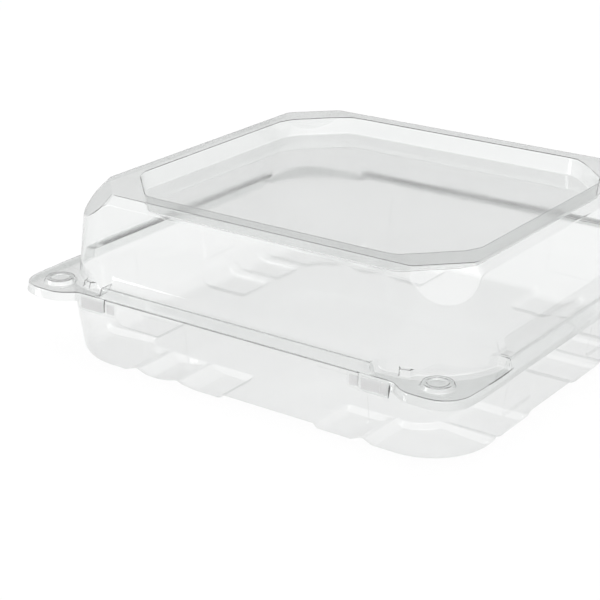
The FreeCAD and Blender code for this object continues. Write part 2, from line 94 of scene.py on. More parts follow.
def clear_sheet(name, tint, edge_shade, clear, wave_height, haze_low, haze_high):
    """Clear sheet, darker where it is looked at along its surface: painted shade in place of the dark
    lines that refraction draws along its rolled edges.
    """
    material = bpy.data.materials.new(name)
    material.use_nodes = True
    nodes, links = material.node_tree.nodes, material.node_tree.links
    surface = nodes["Principled BSDF"]
    # Painted shade: the colour turns to the darker edge colour where the sheet is seen at a slant,
    # standing in for the dark lines that refraction draws along rolled edges.
    slant = nodes.new("ShaderNodeLayerWeight")
    slant.inputs["Blend"].default_value = 0.28
    depth = nodes.new("ShaderNodeMix")
    depth.data_type = "RGBA"
    depth.inputs[6].default_value = (*tint, 1.0)
    depth.inputs[7].default_value = (*edge_shade, 1.0)
    links.new(slant.outputs["Facing"], depth.inputs[0])
    links.new(depth.outputs[2], surface.inputs["Base Color"])
    surface.inputs["Transmission Weight"].default_value = clear
    surface.inputs["Metallic"].default_value = 0.0
    surface.inputs["IOR"].default_value = 1.47
    ripple = nodes.new("ShaderNodeGroup")
    ripple.node_tree = drawn_ripple
    ripple.inputs["Wave Height"].default_value = wave_height
    ripple.inputs["Haze Low"].default_value = haze_low
    ripple.inputs["Haze High"].default_value = haze_high
    links.new(ripple.outputs["Normal"], surface.inputs["Normal"])
    links.new(ripple.outputs["Roughness"], surface.inputs["Roughness"])
    return material


# The lid's darker edge colour is painted shade along its rolled edges.
clear_lid = clear_sheet(
    "clear_lid", tint=(0.988, 0.993, 0.991), edge_shade=(0.82, 0.835, 0.83), clear=0.97,
    wave_height=0.12, haze_low=0.02, haze_high=0.07)

# Outlines in plan, in millimetres. Each gives how far a point lies outside it, so that two
# outlines are joined or cut by taking the smaller or the larger of the two.
FARTHEST = 170.0
MIDDLE = (0.0, 0.0)


def inside_out(points, centre, half, radius):
    """How far each point lies outside a rounded rectangle."""
    corner = np.stack(np.broadcast_arrays(*half), -1) - np.array(radius)[..., None]
    beyond = np.abs(points - np.array(centre)) - corner
    outer = np.linalg.norm(np.maximum(beyond, 0.0), axis=-1)
    return outer + np.minimum(beyond.max(-1), 0.0) - radius


def soft_max(first, second, soft):
    """Inside both outlines, with the corner between them rounded."""
    near = np.maximum(soft - np.abs(first - second), 0.0) / soft
    return np.maximum(first, second) + near * near * soft / 4.0


def soft_min(first, second, soft):
    """Inside either outline, with the inner corner between them rounded."""
    return -soft_max(-first, -second, soft)


def along(rays, out):
    """The point on each ray that lies this far out."""
    return rays[0] + out[:, None] * rays[1]


def reach(rays, outline):
    """How far out along each ray the outline lies."""
    out = np.full(len(rays[0]), FARTHEST)
    for _ in range(120):
        out = out - outline(along(rays, out))
    return out


def ramp(value, start, end):
    """0 before start, 1 after end, smooth between them."""
    share = np.clip((value - start) / (end - start), 0.0, 1.0)
    return share * share * (3.0 - 2.0 * share)


def between(value, low, high, soft):
    """1 from low to high, 0 beyond, smooth at both ends."""
    return ramp(value, low - soft, low + soft) * (1.0 - ramp(value, high - soft, high + soft))


# Rays leave the pack's middle all round. They stand close beside each mark, where the form
# changes, but never closer to each other than the two least gaps, in millimetres and radians.
BESIDE = (-0.9, -0.45, 0.0, 0.45, 0.9)
LEAST_GAP = 0.22
LEAST_TURN = 0.0045


def spread_out(half, marks, step):
    """Even places from one end to the other, and close ones beside each mark."""
    places = list(np.linspace(-half, half, max(2, int(math.ceil(2.0 * half / step)) + 1)))
    for mark in marks:
        places += [mark + shift for shift in BESIDE]
    places = sorted(place for place in places if abs(place) <= half + 1e-9)
    kept = [places[0]]
    for place in places[1:]:
        if place - kept[-1] > LEAST_GAP:
            kept.append(place)
    kept[-1] = half
    return kept


def fan_out(hub_x, hub_y, marks, step):
    """Even turns round a corner, and close ones beside each mark."""
    turns = list(np.radians(np.arange(0.0, 90.1, step)))
    for x, y in marks:
        turn = math.atan2(x - hub_x, y - hub_y)
        away = math.hypot(x - hub_x, y - hub_y)
        turns += [turn + shift / away for shift in BESIDE]
    turns = sorted(turn for turn in turns if 0.0 <= turn <= math.pi / 2)
    kept = [turns[0]]
    for turn in turns[1:]:
        if turn - kept[-1] > LEAST_TURN:
            kept.append(turn)
    return kept[1:-1]


def rays_round(hub_x, hub_y, marks_x, marks_y, marks_corner, step=7.0, corner_step=3.0):
    """Rays all round from the left end of the front: where each starts, and its way."""
    across = {end: spread_out(hub_x, marks_x[end], step) for end in ("front", "back")}
    fans = {end: fan_out(hub_x, hub_y, marks_corner[end], corner_step) for end in ("front", "back")}
    up_side = spread_out(hub_y, marks_y, step)
    rays = [(x, -hub_y, 0.0, -1.0) for x in across["front"]]
    rays += [(hub_x, -hub_y, math.sin(turn), -math.cos(turn)) for turn in fans["front"]]
    rays += [(hub_x, y, 1.0, 0.0) for y in up_side]
    rays += [(hub_x, hub_y, math.sin(turn), math.cos(turn)) for turn in reversed(fans["back"])]
    rays += [(x, hub_y, 0.0, 1.0) for x in reversed(across["back"])]
    rays += [(-hub_x, hub_y, -math.sin(turn), math.cos(turn)) for turn in fans["back"]]
    rays += [(-hub_x, y, -1.0, 0.0) for y in reversed(up_side)]
    rays += [(-hub_x, -hub_y, -math.sin(turn), -math.cos(turn)) for turn in reversed(fans["front"])]
    rays = np.array(rays)
    return rays[:, :2], rays[:, 2:]


# Each ray cuts the sheet once, in a profile of corner points that are rounded off. The profiles
# side by side make the sheet's net.

def round_off(steps):
    """A profile on each ray, from its corner points. Each point has how far out it lies, its
    height, the radius that rounds it and the number of steps in the rounding."""
    out = np.stack([step[0] for step in steps], 1)
    height = np.stack([step[1] for step in steps], 1)
    points = np.stack([out, height], -1)
    rows = []
    last = len(steps) - 1
    for number, (_, _, radius, count) in enumerate(steps):
        here = points[:, number]
        if not radius or number in (0, last):
            rows.append(here)
            continue
        back = points[:, number - 1] - here
        ahead = points[:, number + 1] - here
        long_back = np.maximum(np.linalg.norm(back, axis=1), 1e-9)[:, None]
        long_ahead = np.maximum(np.linalg.norm(ahead, axis=1), 1e-9)[:, None]
        back, ahead = back / long_back, ahead / long_ahead
        cosine = np.clip((back * ahead).sum(1), -0.999999, 0.999999)[:, None]
        half_turn = (math.pi - np.arccos(cosine)) / 2.0
        limit = 0.46 * np.minimum(long_back, long_ahead)
        tangent = np.minimum(radius * np.tan(np.minimum(half_turn, 1.4)), limit)
        start, end = here + back * tangent, here + ahead * tangent
        pull = np.cos(half_turn)
        for share in np.linspace(0.0, 1.0, count + 1):
            first, middle, final = (1 - share) ** 2, 2 * share * (1 - share) * pull, share ** 2
            rows.append((first * start + middle * here + final * end) / (first + middle + final))
    return np.stack(rows, 1)


def sheet_net(rays, rows):
    """The sheet's top face as a net of rows round the pack, closed in the middle."""
    starts, ways = rays
    count, depth = rows.shape[:2]
    net = bmesh.new()
    flat = starts[:, None] + ways[:, None] * rows[..., :1]
    places = np.concatenate([flat, rows[..., 1:]], -1) / 1000.0
    points = [[net.verts.new(places[i, j]) for j in range(depth)] for i in range(count)]
    for i in range(count):
        ahead = (i + 1) % count
        for j in range(depth - 1):
            net.faces.new((points[i][j], points[i][j + 1], points[ahead][j + 1], points[ahead][j]))
    middle = net.verts.new((0.0, 0.0, sum(points[i][0].co.z for i in range(count)) / count))
    inner = [net.verts.new(points[i][0].co.lerp(middle.co, 0.5)) for i in range(count)]
    for i in range(count):
        ahead = (i + 1) % count
        net.faces.new((inner[i], points[i][0], points[ahead][0], inner[ahead]))
        net.faces.new((middle, inner[i], inner[ahead]))
    bmesh.ops.remove_doubles(net, verts=net.verts, dist=1e-5)
    bmesh.ops.dissolve_degenerate(net, edges=net.edges, dist=1e-6)
    for face in net.faces:
        face.smooth = True
    return net


# The snap buttons: round studs of the same sheet with a dish in the top, one on each ear.
BUTTON_X = 97.5
BUTTON_Y = -100.0
BUTTON_ROOM = 1.2
ON_SHELF = 1e-5


def button_profile(inset):
    """The snap button's line from its foot to the bottom of its dish, the foot first: how far
    from the button's middle, and how high above the shelf."""
    corners = ((8.2 - inset, 0.0, 0.0), (7.2 - inset, 0.0, 0.7), (6.3 - inset, 1.8, 0.7),
               (4.4 + inset, 1.8, 0.6), (3.7 + inset, 1.1, 0.5), (1.4, 1.1, 0.0))
    rows = round_off([(np.array([out]), np.array([rise]), radius, 4) for out, rise, radius in corners])
    return [tuple(point) for point in rows[0]]


def set_button(net, x, shelf, profile, around=48):
    """Cuts the flat shelf open and lets a round button into it."""
    middle = Vector((x, BUTTON_Y, shelf)) / 1000.0
    room = (profile[0][0] + BUTTON_ROOM) / 1000.0
    gone = {
        face for face in net.faces
        if all(abs(vert.co.z - middle.z) < ON_SHELF for vert in face.verts)
        and (min((vert.co - middle).length for vert in face.verts) < room
             or (face.calc_center_median() - middle).length < room)
    }
    for vert in net.verts:
        if abs(vert.co.z - middle.z) < ON_SHELF and (vert.co - middle).length < room:
            gone.update(vert.link_faces)
    edges = {edge for face in gone for edge in face.edges}
    bmesh.ops.delete(net, geom=list(gone), context="FACES")
    hole = [edge for edge in edges if edge.is_valid and len(edge.link_faces) == 1]
    rings = []
    for radius, rise in profile:
        ring = []
        for turn in np.linspace(0.0, 2.0 * math.pi, around, endpoint=False):
            ring.append(net.verts.new((middle.x + radius / 1000.0 * math.cos(turn),
                                       middle.y + radius / 1000.0 * math.sin(turn),
                                       middle.z + rise / 1000.0)))
        rings.append(ring)
    made = []
    for outer, inner in zip(rings, rings[1:]):
        for i in range(around):
            ahead = (i + 1) % around
            made.append(net.faces.new((outer[i], outer[ahead], inner[ahead], inner[i])))
    made.append(net.faces.new(rings[-1]))
    hoop = [net.edges.get((rings[0][i], rings[0][(i + 1) % around])) for i in range(around)]
    filled = bmesh.ops.triangle_fill(net, use_beauty=True, use_dissolve=False, edges=hole + hoop)
    made += [item for item in filled["geom"] if isinstance(item, bmesh.types.BMFace)]
    for face in made:
        face.normal_update()
        if face.normal.z < 0.0:
            face.normal_flip()
        face.smooth = True
    bmesh.ops.delete(net, geom=[vert for vert in net.verts if not vert.link_faces], context="VERTS")


def placed(name, data):
    """A new object in the scene."""
    thing = bpy.data.objects.new(name, data)
    bpy.context.scene.collection.objects.link(thing)
    return thing


def settle(piece):
    """Turns what the piece's modifiers make into its own mesh."""
    depsgraph = bpy.context.evaluated_depsgraph_get()
    settled = bpy.data.meshes.new_from_object(piece.evaluated_get(depsgraph))
    piece.modifiers.clear()
    piece.data = settled


def piece_from_net(name, net, material, thickness=0.0, offset=0.0, soft_shading=True):
    """A piece of sheet from its net, with its thickness in millimetres and its material."""
    mesh = bpy.data.meshes.new(name)
    net.normal_update()
    net.to_mesh(mesh)
    net.free()
    piece = placed(name, mesh)
    if thickness:
        wall = piece.modifiers.new("wall", "SOLIDIFY")
        wall.thickness = thickness / 1000.0
        wall.offset = offset
    if soft_shading:
        soft = piece.modifiers.new("soft", "WEIGHTED_NORMAL")
        soft.keep_sharp = True
        soft.weight = 80
    settle(piece)
    piece.data.materials.clear()
    piece.data.materials.append(material)
    return piece


# The flange, which is alike on both halves. A height is a place on its leaning sides, and the
# inset is how far the tray's flange lies inside the lid's.
PART_HEIGHT = 37.6
RIM_FOOT = PART_HEIGHT - 3.3
BEAD_TOP = PART_HEIGHT + 4.7
LEAN = 0.25
BOX_HALF = (113.36, 113.16)
RIM_HALF_X = 113.4
BEAD_HALF_Y = 104.4
BEAD_CORNER = 24.0
BEAD_END = 69.0
FRONT_RIM = 107.6
RIM_CORNER = 16.0
EAR_INNER = 79.0
EAR_MIDDLE_Y = -87.2
EAR_HALF_Y = 26.0
EAR_CORNER = 13.0
FOLD_HALF = 75.0
SIDE_RIM_END = 71.0
EDGE_TURN = 0.35
RIM_HANG = 3.25
TAB_HANG = 7.0
TAB_CORNER = 3.0


def bead_outline(height, inset):
    """The outer side of the bead."""
    half_x = RIM_HALF_X + LEAN * (RIM_FOOT - height) - inset
    half_y = BEAD_HALF_Y + LEAN * (BEAD_TOP - height) - inset
    return lambda points: inside_out(points, MIDDLE, (half_x, half_y), BEAD_CORNER - inset)


def rim_outline(height, inset):
    """The edge of the flange: front rim, ears, side rims, back corners and fold strip."""
    lean_in = LEAN * (height - RIM_FOOT) + inset
    outer = RIM_HALF_X - lean_in
    inner = EAR_INNER + lean_in

    def outline(points):
        plate = inside_out(points, (0.0, 0.8), (outer, FRONT_RIM - inset), RIM_CORNER - inset)
        ears = [
            inside_out(points, (side * (inner + outer) / 2.0, EAR_MIDDLE_Y + lean_in / 2.0),
                       ((outer - inner) / 2.0, EAR_HALF_Y - lean_in / 2.0), EAR_CORNER - inset)
            for side in (-1.0, 1.0)
        ]
        back = inside_out(points, (0.0, 89.2), (RIM_HALF_X - inset, 19.2), RIM_CORNER - inset)
        strip = inside_out(points, (0.0, 90.0), (FOLD_HALF, 22.6), 0.5)
        joined = soft_min(plate, np.minimum(*ears), 2.0)
        joined = soft_min(joined, back, 1.0)
        return soft_min(joined, strip, 1.5)

    return outline


def within_box(rays, out):
    """No further out than the pack's box."""
    return np.minimum(out, reach(rays, lambda points: inside_out(points, MIDDLE, BOX_HALF, 0.1)))


def bead_share(spot):
    """1 where the bead runs, 0 at the corners, from the place of its edge."""
    x, y = np.abs(spot[:, 0]), np.abs(spot[:, 1])
    on_end = (y > 98.0) * (1.0 - ramp(x, BEAD_END, BEAD_END + 1.3))
    on_side = (x > 106.0) * (1.0 - ramp(y, BEAD_END, BEAD_END + 1.3))
    return np.maximum(on_end, on_side)


def skirt(spot, tab_inner):
    """How deep the edge hangs below the flange, from the place on the edge, and how far it
    leans outwards over each millimetre of that."""
    x, y = np.abs(spot[:, 0]), spot[:, 1]
    front = y < -100.0
    ear = front * ramp(x, EAR_INNER + 0.2, EAR_INNER + 1.6)
    side = (x > 108.0) * (y > -105.0) * (1.0 - ramp(y, SIDE_RIM_END, SIDE_RIM_END + 1.6))
    across_corner = np.clip((x - tab_inner) / TAB_CORNER, 0.0, 1.0)
    tab = front * (x > tab_inner) * (1.0 - ramp(x, EAR_INNER + 0.6, EAR_INNER + 1.4))
    tab_hang = TAB_HANG - TAB_CORNER * (1.0 - np.sqrt(1.0 - (1.0 - across_corner) ** 2))
    rim = np.maximum(ear, side)
    return EDGE_TURN + np.maximum(rim * RIM_HANG, tab * tab_hang), LEAN * rim


# The lid's own sizes. A drop is how far a place lies below the ridge.
TOP = 78.4
WALL = 0.4
LID_SHELF = PART_HEIGHT + 0.15 + 0.5
RIDGE_HALF_X = 95.0
RIDGE_HALF_Y = 87.1
RIDGE_WIDTH = 8.0
RIDGE_CUT = 19.0
PANEL_CUT = 23.0
PANEL_DEPTH = 7.9
PANEL_DRAFT = 0.11
BEVEL_DROP = 3.8
BEVEL_OUT = 3.3
LID_DRAFT = math.tan(math.radians(13.0))
LID_CORNER = 14.0
LID_CORNER_GROWTH = 0.52
LUG_HEIGHT = 2.6
LUG_OUT = 2.2
LID_TAB_INNER = 65.5


def panel_outline(drop):
    """The sunk panel's side, with its cut corners."""
    shrink = RIDGE_WIDTH + PANEL_DRAFT * drop
    half_x, half_y = RIDGE_HALF_X - shrink, RIDGE_HALF_Y - shrink
    return lambda points: soft_max(
        inside_out(points, MIDDLE, (half_x, half_y), 0.5),
        (np.abs(points).sum(-1) - (half_x + half_y - PANEL_CUT)) / math.sqrt(2.0), 3.0)


def ridge_outline(drop):
    """The bevel and the corner facets, some way below the ridge."""
    grow = BEVEL_OUT / BEVEL_DROP * drop
    half_x, half_y = RIDGE_HALF_X + grow, RIDGE_HALF_Y + grow
    facet = (RIDGE_HALF_X + RIDGE_HALF_Y - RIDGE_CUT) / math.sqrt(2.0) + drop
    return lambda points: soft_max(
        np.maximum(np.abs(points[:, 0]) - half_x, np.abs(points[:, 1]) - half_y),
        np.abs(points).sum(-1) / math.sqrt(2.0) - facet, 1.6)


def side_outline(drop):
    """The drafted sides, some way below the ridge."""
    out = BEVEL_OUT + (drop - BEVEL_DROP) * LID_DRAFT
    return lambda points: inside_out(
        points, MIDDLE, (RIDGE_HALF_X + out, RIDGE_HALF_Y + out), LID_CORNER + LID_CORNER_GROWTH * drop)


lid_rays = rays_round(
    70.0, 66.0,
    {"front": [-69.6, -65.5, 65.5, 69.6], "back": [-69.6, 69.6]}, [-64.5, -62.0],
    {"front": [(79.0, 98.8), (84.0, 98.8), (79.9, 106.8), (82.0, 108.0), (106.0, 67.0), (111.4, 69.6)],
     "back": [(75.0, 110.0), (111.4, 69.6), (113.0, 72.0)]})
level = np.ones(len(lid_rays[0]))

# Where bevel and facets turn into the sides: halved until both outlines lie equally far out.
low, high = 0.3 * level, 26.0 * level
for _ in range(30):
    turn_drop = (low + high) / 2.0
    inside = reach(lid_rays, ridge_outline(turn_drop)) < reach(lid_rays, side_outline(turn_drop))
    low, high = np.where(inside, turn_drop, low), np.where(inside, high, turn_drop)
turn_drop = (low + high) / 2.0
turn_height = TOP - turn_drop

lid_bead_out = reach(lid_rays, bead_outline(BEAD_TOP, 0.0))
lid_bead_foot = reach(lid_rays, bead_outline(LID_SHELF, 0.0))
lid_bead = bead_share(along(lid_rays, lid_bead_out))
foot_height = LID_SHELF + (BEAD_TOP - LID_SHELF) * lid_bead

# Four small lugs at the foot of the sides, which keep stacked lids apart.
lug_spot = along(lid_rays, reach(lid_rays, side_outline((TOP - LID_SHELF) * level)))
lug_x, lug_y = np.abs(lug_spot[:, 0]), lug_spot[:, 1]
lug = (lug_y < -90.0) * between(lug_x, 79.0, 84.0, 0.4)
lug = lug + (lug_x > 100.0) * between(lug_y, -67.0, -62.0, 0.4)
lug_top = foot_height + LUG_HEIGHT * (1.0 - lid_bead)
lug_out = reach(lid_rays, side_outline(TOP - lug_top))

lid_edge = reach(lid_rays, rim_outline(LID_SHELF, 0.0))
lid_hang, lid_lean = skirt(along(lid_rays, lid_edge), LID_TAB_INNER)
lid_edge = np.maximum(lid_edge, lid_bead_foot + 0.01)


def lid_side(share):
    """A point on the lid's side, from the turn below the bevel down to the lugs."""
    height = turn_height + (lug_top - turn_height) * share
    return reach(lid_rays, side_outline(TOP - height)), height, 0.0, 1


lid_rows = round_off([
    (reach(lid_rays, panel_outline(PANEL_DEPTH)) - 3.0, level * (TOP - PANEL_DEPTH), 0.0, 1),
    (reach(lid_rays, panel_outline(PANEL_DEPTH)), level * (TOP - PANEL_DEPTH), 0.9, 4),
    (reach(lid_rays, panel_outline(0.0)), level * TOP, 0.8, 4),
    (reach(lid_rays, ridge_outline(0.0)), level * TOP, 1.4, 4),
    (reach(lid_rays, ridge_outline(turn_drop * 0.5)), TOP - turn_drop * 0.5, 0.0, 1),
    (reach(lid_rays, ridge_outline(turn_drop)), turn_height, 1.6, 4),
    lid_side(0.4),
    lid_side(0.8),
    (lug_out, lug_top, 0.5, 2),
    (lug_out + LUG_OUT * lug, lug_top, 0.5, 2),
    (reach(lid_rays, side_outline(TOP - foot_height)) + (LUG_OUT + 0.2) * lug, foot_height, 0.8, 4),
    (lid_bead_out, foot_height, 0.9, 4),
    (lid_bead_foot, level * LID_SHELF, 0.6, 3),
    (lid_edge, level * LID_SHELF, 0.7, 3),
    (within_box(lid_rays, lid_edge + lid_lean * lid_hang), LID_SHELF - lid_hang, 0.0, 1),
])
lid_net = sheet_net(lid_rays, lid_rows)
for x in (-BUTTON_X, BUTTON_X):
    set_button(lid_net, x, LID_SHELF, button_profile(0.0))
lid_piece = piece_from_net("lid_sheet", lid_net, clear_lid, thickness=WALL, offset=-1.0)
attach(lid_piece, "lid")
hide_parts("lid")


# The tray. The lower half of the same clear sheet, drawn down as the lid is: drafted sides with
# pressed flutes and a well rounded bottom edge, on a ring of feet round a raised middle, with
# notches and raised runs between the feet. Its flange nests inside the lid's.
TRAY_SHELF = PART_HEIGHT - 0.15
NEST = 0.8
TRAY_BEAD_TOP = BEAD_TOP - NEST
FOOT_RISE = 2.5
TRAY_HALF_X = 104.0
TRAY_HALF_Y = 96.1
TRAY_CORNER = 29.0
TRAY_DRAFT = math.tan(math.radians(7.6))
BOTTOM_RADIUS = 11.6
RAISED_HALF_X = 78.0
RAISED_HALF_Y = 70.1
RAISED_CORNER = 14.5
ARCH_RADIUS = 4.4
ARCH_DROP = 1.5
EDGE_SOFT = 0.9
TRAY_TAB_INNER = 59.5

# The tray is drawn without thickness and gets its gloss from a clear coat.
# The tray's much darker edge colour is painted shade, in place of the dark lines that its missing
# thickness would give its edges.
clear_tray = clear_sheet(
    "clear_tray", tint=(0.972, 0.979, 0.976), edge_shade=(0.70, 0.715, 0.71), clear=0.95,
    wave_height=0.16, haze_low=0.03, haze_high=0.09)
gloss = clear_tray.node_tree.nodes["Principled BSDF"]
gloss.inputs["IOR"].default_value = 1.0
gloss.inputs["Coat Weight"].default_value = 1.0
gloss.inputs["Coat IOR"].default_value = 1.8
gloss.inputs["Coat Roughness"].default_value = 0.04

tray_rays = rays_round(
    67.0, 61.0,
    {"front": [-69.0, -60.0, -51.0, -37.0, -27.0, -14.0, 37.0, 41.0, 59.5, 65.0, 69.0],
     "back": [-69.0, -60.0, -51.0, -37.0, -27.0, -14.0, 37.0, 41.0, 60.0, 65.0, 69.0]},
    [-57.0, -38.0, -36.0, 8.0, 12.0, 36.0, 29.0, 37.0, 54.0],
    {"front": [(69.2, 104.0), (73.0, 106.0), (77.0, 106.0), (79.9, 106.8), (82.0, 108.0), (110.6, 68.8),
               (105.0, 62.0), (105.0, 65.0)],
     "back": [(69.2, 104.0), (75.0, 110.0), (110.6, 68.8), (113.0, 71.5), (105.0, 62.0)]})
level = np.ones(len(tray_rays[0]))


def wall_outline(height):
    """The drafted sides, some way above the table."""
    grow = height * TRAY_DRAFT
    return lambda points: inside_out(
        points, MIDDLE, (TRAY_HALF_X + grow, TRAY_HALF_Y + grow), TRAY_CORNER + grow)


def raised_outline(grow):
    """The side of the floor's raised middle."""
    return lambda points: inside_out(
        points, MIDDLE, (RAISED_HALF_X + grow, RAISED_HALF_Y + grow), RAISED_CORNER + grow)


wall_spot = along(tray_rays, reach(tray_rays, wall_outline(20.0 * level)))
spot_x, spot_y = wall_spot[:, 0], wall_spot[:, 1]
on_end = (np.abs(spot_y) > 96.0) & (np.abs(spot_x) < 67.0)
on_side = (np.abs(spot_x) > 104.0) & (np.abs(spot_y) < 66.0)

# How high the bottom edge lies above the table: one raised run and three notches on each side.
rise = np.zeros(len(level))
for where, spot, run, notches in (
        (on_end, spot_x, (-14.0, 37.0), (-60.0, -37.0, 60.0)),
        (on_side, spot_y, (-36.0, 8.0), (-61.0, 33.0, 58.0))):
    rise = np.maximum(rise, where * between(spot, *run, EDGE_SOFT) * FOOT_RISE)
    for notch in notches:
        arch = np.sqrt(np.maximum(ARCH_RADIUS ** 2 - (spot - notch) ** 2, 0.0)) - ARCH_DROP
        rise = np.maximum(rise, where * np.maximum(arch, 0.0))
rise = np.minimum(rise, FOOT_RISE)

# Where the pressed flutes are: two on each side.
flute = np.zeros(len(level))
for where, spot, runs in (
        (on_end, spot_x, ((-51.0, -27.0), (41.0, 65.0))),
        (on_side, spot_y, ((-62.0, -38.0), (12.0, 36.0)))):
    for run in runs:
        flute = np.maximum(flute, where * between(spot, *run, EDGE_SOFT))

tray_bead_out = reach(tray_rays, bead_outline(TRAY_BEAD_TOP, NEST))
tray_bead_foot = reach(tray_rays, bead_outline(TRAY_SHELF, NEST))
up_to_lid = np.array([1.0 + NEST / 112.0, 1.0 + NEST / 105.0])
tray_bead = bead_share(along(tray_rays, tray_bead_out) * up_to_lid)
top_height = TRAY_SHELF + (TRAY_BEAD_TOP - TRAY_SHELF) * tray_bead
wall_top = reach(tray_rays, wall_outline(top_height))
tray_edge = reach(tray_rays, rim_outline(TRAY_SHELF, NEST))
tray_hang, tray_lean = skirt(along(tray_rays, tray_edge), TRAY_TAB_INNER)
tray_edge = np.maximum(np.maximum(tray_edge, tray_bead_foot + 0.01), wall_top + 0.8)


def tray_side(height, press):
    """A point on the tray's side, pressed inwards where the flutes are."""
    return reach(tray_rays, wall_outline(height * level)) - press * flute, height * level, 0.5, 2


tray_rows = round_off([
    (reach(tray_rays, raised_outline(-2.5)), level * FOOT_RISE, 0.0, 1),
    (reach(tray_rays, raised_outline(-0.6)), level * FOOT_RISE, 0.8, 3),
    (reach(tray_rays, raised_outline(0.9)), rise, 0.8, 3),
    (reach(tray_rays, wall_outline(rise)), rise, BOTTOM_RADIUS, 10),
    tray_side(12.4, 0.0),
    tray_side(13.8, 1.0),
    tray_side(31.6, 1.0),
    tray_side(33.0, 0.0),
    (wall_top, top_height, 0.8, 4),
    (np.maximum(tray_bead_out, wall_top + 0.3), top_height, 0.7, 4),
    (np.maximum(tray_bead_foot, wall_top + 0.6), level * TRAY_SHELF, 0.5, 3),
    (tray_edge, level * TRAY_SHELF, 0.6, 3),
    (within_box(tray_rays, tray_edge + tray_lean * tray_hang), TRAY_SHELF - tray_hang, 0.0, 1),
])
tray_net = sheet_net(tray_rays, tray_rows)
for x in (-BUTTON_X, BUTTON_X):
    set_button(tray_net, x, TRAY_SHELF, button_profile(NEST))
tray_piece = piece_from_net("tray_sheet", tray_net, clear_tray)
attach(tray_piece, "base")
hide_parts("base_tray")


# The knurling on the grip tabs. Small pyramids of the same sheet, pressed into the tabs of both
# halves beside the ears, which look frosted and give the fingers a hold.
KNURL_PITCH = 0.95
STUD_RADIUS = 0.58
# The knurl's slightly darker edge colour is painted shade as well.
knurl_look = clear_sheet(
    "pressed_knurl", tint=(0.99, 0.99, 0.99), edge_shade=(0.95, 0.955, 0.955), clear=0.25,
    wave_height=0.05, haze_low=0.2, haze_high=0.35)


def knurl_tree():
    """Rows of small pyramids on an upright patch that faces the front."""
    tree = bpy.data.node_groups.new("knurl", "GeometryNodeTree")
    tree.interface.new_socket(name="Geometry", in_out="INPUT", socket_type="NodeSocketGeometry")
    for label, kind in (("Centre", "NodeSocketVector"), ("Width", "NodeSocketFloat"),
                        ("Height", "NodeSocketFloat"), ("Columns", "NodeSocketInt"),
                        ("Rows", "NodeSocketInt"), ("Stud", "NodeSocketFloat"),
                        ("Material", "NodeSocketMaterial")):
        tree.interface.new_socket(name=label, in_out="INPUT", socket_type=kind)
    tree.interface.new_socket(name="Geometry", in_out="OUTPUT", socket_type="NodeSocketGeometry")
    nodes, links = tree.nodes, tree.links
    inputs = nodes.new("NodeGroupInput")
    outputs = nodes.new("NodeGroupOutput")
    patch = nodes.new("GeometryNodeMeshGrid")
    for label, socket in (("Width", "Size X"), ("Height", "Size Y"),
                          ("Columns", "Vertices X"), ("Rows", "Vertices Y")):
        links.new(inputs.outputs[label], patch.inputs[socket])
    stud = nodes.new("GeometryNodeMeshCone")
    stud.inputs["Vertices"].default_value = 4
    links.new(inputs.outputs["Stud"], stud.inputs["Radius Bottom"])
    for share, socket in ((0.9, "Depth"), (0.18, "Radius Top")):
        part = nodes.new("ShaderNodeMath")
        part.operation = "MULTIPLY"
        part.inputs[1].default_value = share
        links.new(inputs.outputs["Stud"], part.inputs[0])
        links.new(part.outputs[0], stud.inputs[socket])
    turn = nodes.new("GeometryNodeTransform")
    turn.inputs["Rotation"].default_value = (0.0, 0.0, math.pi / 4)
    spread = nodes.new("GeometryNodeInstanceOnPoints")
    real = nodes.new("GeometryNodeRealizeInstances")
    stand = nodes.new("GeometryNodeTransform")
    stand.inputs["Rotation"].default_value = (math.pi / 2, 0.0, 0.0)
    dress = nodes.new("GeometryNodeSetMaterial")
    links.new(stud.outputs["Mesh"], turn.inputs["Geometry"])
    links.new(patch.outputs["Mesh"], spread.inputs["Points"])
    links.new(turn.outputs["Geometry"], spread.inputs["Instance"])
    links.new(spread.outputs["Instances"], real.inputs["Geometry"])
    links.new(real.outputs["Geometry"], stand.inputs["Geometry"])
    links.new(inputs.outputs["Centre"], stand.inputs["Translation"])
    links.new(stand.outputs["Geometry"], dress.inputs["Geometry"])
    links.new(inputs.outputs["Material"], dress.inputs["Material"])
    links.new(dress.outputs["Geometry"], outputs.inputs["Geometry"])
    return tree


knurl = knurl_tree()
knurl_inputs = [item for item in knurl.interface.items_tree if item.in_out == "INPUT"]
knurl_socket = {item.name: item.identifier for item in knurl_inputs}
for half, body, slot, inner, outer, face, low, high in (
        ("lid", "lid", "clear_sheet_lid", 67.2, 78.6, -106.86, 32.2, 36.6),
        ("tray", "base", "clear_sheet_tray", 61.2, 64.6, -106.06, 32.2, 35.8)):
    for side, way in (("left", -1), ("right", 1)):
        name = f"{half}_grip_{side}"
        grip = placed(name, bpy.data.meshes.new(name))
        press = grip.modifiers.new("knurl", "NODES")
        press.node_group = knurl
        centre = (way * (inner + outer) / 2000.0, face / 1000.0, (low + high) / 2000.0)
        press[knurl_socket["Centre"]] = centre
        press[knurl_socket["Width"]] = (outer - inner) / 1000.0
        press[knurl_socket["Height"]] = (high - low) / 1000.0
        press[knurl_socket["Columns"]] = int(round((outer - inner) / KNURL_PITCH)) + 1
        press[knurl_socket["Rows"]] = int(round((high - low) / KNURL_PITCH)) + 1
        press[knurl_socket["Stud"]] = STUD_RADIUS / 1000.0
        press[knurl_socket["Material"]] = knurl_look
        settle(grip)
        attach(grip, body)
